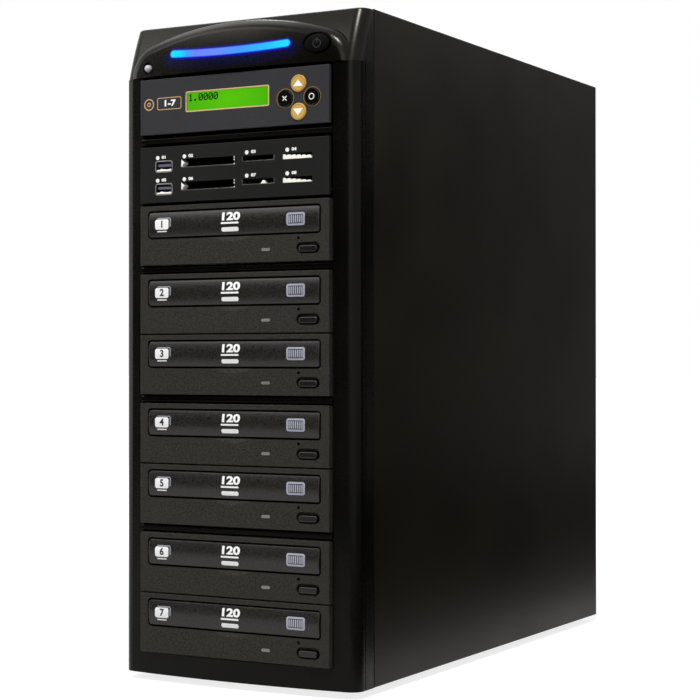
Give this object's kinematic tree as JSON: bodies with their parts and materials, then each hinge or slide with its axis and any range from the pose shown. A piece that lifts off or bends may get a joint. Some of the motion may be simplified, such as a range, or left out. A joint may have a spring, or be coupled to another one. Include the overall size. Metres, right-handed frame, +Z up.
{
  "type": "disc duplicator",
  "caption": "Black tower disc duplicator: stacked optical drives with sliding trays under a card reader, a display panel with round keys, and an arched crown with a light bar.",
  "frame": {"origin": "middle of the footprint, on the plane that the feet stand on", "axes": "+Z up; the front with the drives faces -Y; +X is to the right seen from the front"},
  "size_m": [0.184, 0.4521, 0.454],
  "materials": {
    "case_paint": "satin powder coat, near-black",
    "bezel_plastic": "satin moulded plastic, near-black",
    "drive_face_plastic": "finely textured moulded plastic",
    "door_plastic": "satin moulded plastic",
    "panel_plastic": "matt dark grey",
    "reader_plastic": "matt near-black",
    "light_lens": "clear lens lit cyan",
    "power_key": "glossy near-black",
    "display_glass": "lit green display",
    "gold_key": "gold",
    "dark_key": "glossy near-black with a gold ring",
    "lamp_lens": "clear",
    "dark_lamp": "smoky",
    "zinc_steel": "zinc plated",
    "socket_plastic": "black",
    "board": "solder mask",
    "deck_plastic": "black",
    "tray_plastic": "satin black",
    "eject_plastic": "satin black",
    "fan_plastic": "black",
    "foot_rubber": "matt black",
    "cable_jacket": "sleeved cable",
    "inlet_plastic": "black"
  },
  "bodies": {
    "case": {"base_pan": "case_paint", "bay_trays": "zinc_steel", "card_reader_face": "reader_plastic", "case_screws": "zinc_steel", "circuit_boards": "board", "control_panel": "panel_plastic", "crown": "bezel_plastic", "crown_board": "board", "data_cables": "cable_jacket", "display_module": "display_glass", "drive_bezels": "drive_face_plastic", "drive_cage": "zinc_steel", "drive_cases": "zinc_steel", "drive_decks": "deck_plastic", "drive_lamps": "dark_lamp", "fan_frames": "fan_plastic", "fan_guards": "zinc_steel", "feet": "foot_rubber", "front_bezel": "bezel_plastic", "indicator_lamps": "lamp_lens", "left_side_panel": "case_paint", "light_bar": "light_lens", "panel_thumbscrews": "zinc_steel", "power_harness": "cable_jacket", "power_inlet": "inlet_plastic", "psu_case": "zinc_steel", "reader_sockets": "socket_plastic", "rear_panel": "case_paint", "right_side_panel": "case_paint", "top_panel": "case_paint"},
    "drive_1_loader": {"drive_1_tray": "tray_plastic", "drive_1_door": "door_plastic"},
    "drive_1_eject": {"drive_1_eject_button": "eject_plastic"},
    "drive_2_loader": {"drive_2_tray": "tray_plastic", "drive_2_door": "door_plastic"},
    "drive_2_eject": {"drive_2_eject_button": "eject_plastic"},
    "drive_3_loader": {"drive_3_tray": "tray_plastic", "drive_3_door": "door_plastic"},
    "drive_3_eject": {"drive_3_eject_button": "eject_plastic"},
    "drive_4_loader": {"drive_4_tray": "tray_plastic", "drive_4_door": "door_plastic"},
    "drive_4_eject": {"drive_4_eject_button": "eject_plastic"},
    "drive_5_loader": {"drive_5_tray": "tray_plastic", "drive_5_door": "door_plastic"},
    "drive_5_eject": {"drive_5_eject_button": "eject_plastic"},
    "drive_6_loader": {"drive_6_tray": "tray_plastic", "drive_6_door": "door_plastic"},
    "drive_6_eject": {"drive_6_eject_button": "eject_plastic"},
    "drive_7_loader": {"drive_7_tray": "tray_plastic", "drive_7_door": "door_plastic"},
    "drive_7_eject": {"drive_7_eject_button": "eject_plastic"},
    "key_up_cap": {"key_up": "gold_key"},
    "key_down_cap": {"key_down": "gold_key"},
    "key_back_cap": {"key_back": "dark_key"},
    "key_enter_cap": {"key_enter": "dark_key"},
    "power_cap": {"power_button": "power_key"},
    "mains_switch": {"power_rocker": "inlet_plastic"},
    "upper_fan": {"upper_fan_rotor": "fan_plastic"},
    "lower_fan": {"lower_fan_rotor": "fan_plastic"},
    "psu_fan": {"psu_fan_rotor": "fan_plastic"}
  },
  "joints": [
    {"name": "drive_1_tray_slide", "type": "slide", "parent": "case", "child": "drive_1_loader", "axis": [0, -1, 0], "range_m": [0, 0.135]},
    {"name": "drive_1_eject_press", "type": "slide", "parent": "case", "child": "drive_1_eject", "axis": [0, 1, 0], "range_m": [0, 0.0012], "stiffness_N_per_m": 400},
    {"name": "drive_2_tray_slide", "type": "slide", "parent": "case", "child": "drive_2_loader", "axis": [0, -1, 0], "range_m": [0, 0.135]},
    {"name": "drive_2_eject_press", "type": "slide", "parent": "case", "child": "drive_2_eject", "axis": [0, 1, 0], "range_m": [0, 0.0012], "stiffness_N_per_m": 400},
    {"name": "drive_3_tray_slide", "type": "slide", "parent": "case", "child": "drive_3_loader", "axis": [0, -1, 0], "range_m": [0, 0.135]},
    {"name": "drive_3_eject_press", "type": "slide", "parent": "case", "child": "drive_3_eject", "axis": [0, 1, 0], "range_m": [0, 0.0012], "stiffness_N_per_m": 400},
    {"name": "drive_4_tray_slide", "type": "slide", "parent": "case", "child": "drive_4_loader", "axis": [0, -1, 0], "range_m": [0, 0.135]},
    {"name": "drive_4_eject_press", "type": "slide", "parent": "case", "child": "drive_4_eject", "axis": [0, 1, 0], "range_m": [0, 0.0012], "stiffness_N_per_m": 400},
    {"name": "drive_5_tray_slide", "type": "slide", "parent": "case", "child": "drive_5_loader", "axis": [0, -1, 0], "range_m": [0, 0.135]},
    {"name": "drive_5_eject_press", "type": "slide", "parent": "case", "child": "drive_5_eject", "axis": [0, 1, 0], "range_m": [0, 0.0012], "stiffness_N_per_m": 400},
    {"name": "drive_6_tray_slide", "type": "slide", "parent": "case", "child": "drive_6_loader", "axis": [0, -1, 0], "range_m": [0, 0.135]},
    {"name": "drive_6_eject_press", "type": "slide", "parent": "case", "child": "drive_6_eject", "axis": [0, 1, 0], "range_m": [0, 0.0012], "stiffness_N_per_m": 400},
    {"name": "drive_7_tray_slide", "type": "slide", "parent": "case", "child": "drive_7_loader", "axis": [0, -1, 0], "range_m": [0, 0.135]},
    {"name": "drive_7_eject_press", "type": "slide", "parent": "case", "child": "drive_7_eject", "axis": [0, 1, 0], "range_m": [0, 0.0012], "stiffness_N_per_m": 400},
    {"name": "key_up_press", "type": "slide", "parent": "case", "child": "key_up_cap", "axis": [0, 1, 0], "range_m": [0, 0.0006], "stiffness_N_per_m": 600},
    {"name": "key_down_press", "type": "slide", "parent": "case", "child": "key_down_cap", "axis": [0, 1, 0], "range_m": [0, 0.0006], "stiffness_N_per_m": 600},
    {"name": "key_back_press", "type": "slide", "parent": "case", "child": "key_back_cap", "axis": [0, 1, 0], "range_m": [0, 0.0006], "stiffness_N_per_m": 600},
    {"name": "key_enter_press", "type": "slide", "parent": "case", "child": "key_enter_cap", "axis": [0, 1, 0], "range_m": [0, 0.0006], "stiffness_N_per_m": 600},
    {"name": "power_press", "type": "slide", "parent": "case", "child": "power_cap", "axis": [0, 1, 0], "range_m": [0, 0.002], "stiffness_N_per_m": 500},
    {"name": "mains_rock", "type": "hinge", "parent": "case", "child": "mains_switch", "pos_m": [0.046, 0.214, 0.065], "axis": [1, 0, 0], "range_deg": [0, 18]},
    {"name": "upper_fan_spin", "type": "hinge", "parent": "case", "child": "upper_fan", "pos_m": [0, 0.208, 0.265], "axis": [0, 1, 0], "continuous": true},
    {"name": "lower_fan_spin", "type": "hinge", "parent": "case", "child": "lower_fan", "pos_m": [0, 0.208, 0.165], "axis": [0, 1, 0], "continuous": true},
    {"name": "psu_fan_spin", "type": "hinge", "parent": "case", "child": "psu_fan", "pos_m": [-0.028, 0.208, 0.049], "axis": [0, 1, 0], "continuous": true}
  ]
}
